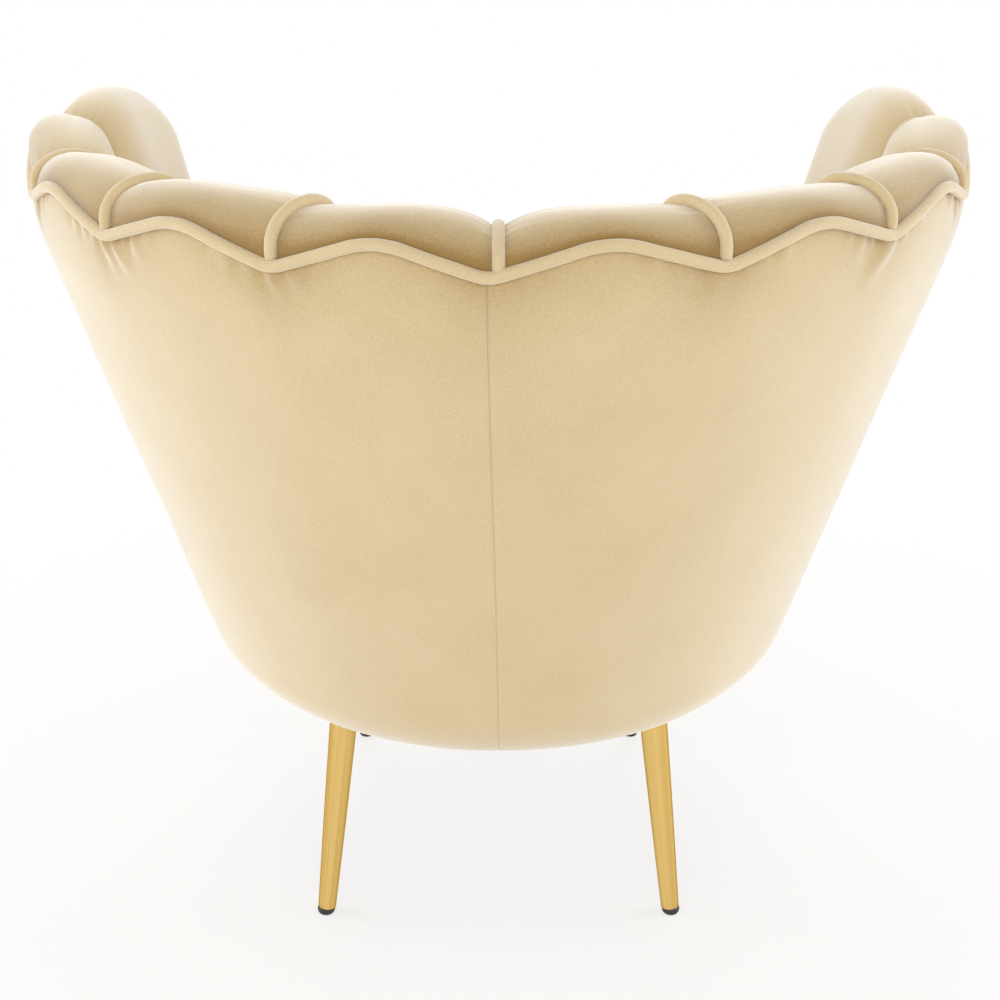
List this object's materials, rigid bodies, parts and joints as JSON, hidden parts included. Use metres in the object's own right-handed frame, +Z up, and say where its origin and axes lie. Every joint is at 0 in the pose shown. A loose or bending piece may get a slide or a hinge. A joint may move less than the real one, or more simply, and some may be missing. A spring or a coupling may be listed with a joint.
{
  "type": "tub armchair",
  "caption": "Velvet tub armchair with a scalloped shell back of stuffed petals, piped seams, a round seat cushion and splayed tapered gold legs.",
  "frame": {"origin": "on the floor, under the middle of the chair's outline", "axes": "+Z up, -Y the way the sitter faces, +Y the back, +X the sitter's left"},
  "size_m": [0.8184, 0.7162, 0.7232],
  "materials": {
    "velvet": "cream pile velvet",
    "welt_velvet": "cream velvet piping",
    "gold_metal": "satin gold",
    "black_plastic": "matt",
    "plywood": "raw",
    "fibreboard": "raw",
    "webbing": "woven",
    "padding": "wadding",
    "dust_cloth": "non-woven",
    "zinc_steel": "zinc plated"
  },
  "bodies": {
    "root": {"arm_ribs": "plywood", "back_ribs": "plywood", "base_board": "plywood", "base_padding": "padding", "channel_welts": "welt_velvet", "deck_pad": "padding", "dust_cover": "dust_cloth", "front_apron": "velvet", "front_panels": "fibreboard", "front_ribs": "plywood", "glides": "black_plastic", "leg_front_left": "gold_metal", "leg_front_right": "gold_metal", "leg_inserts": "zinc_steel", "leg_rear_left": "gold_metal", "leg_rear_right": "gold_metal", "leg_studs": "zinc_steel", "lining_boards": "fibreboard", "outer_cover_left": "velvet", "outer_cover_right": "velvet", "outer_panels": "fibreboard", "petal_left_1": "velvet", "petal_left_2": "velvet", "petal_left_3": "velvet", "petal_left_4": "velvet", "petal_left_5": "velvet", "petal_right_1": "velvet", "petal_right_2": "velvet", "petal_right_3": "velvet", "petal_right_4": "velvet", "petal_right_5": "velvet", "rim_welt": "welt_velvet", "seat_cushion": "velvet", "seat_ring": "plywood", "seat_welt": "welt_velvet", "top_rail": "plywood", "webbing_cross": "webbing", "webbing_long": "webbing"}
  },
  "joints": []
}
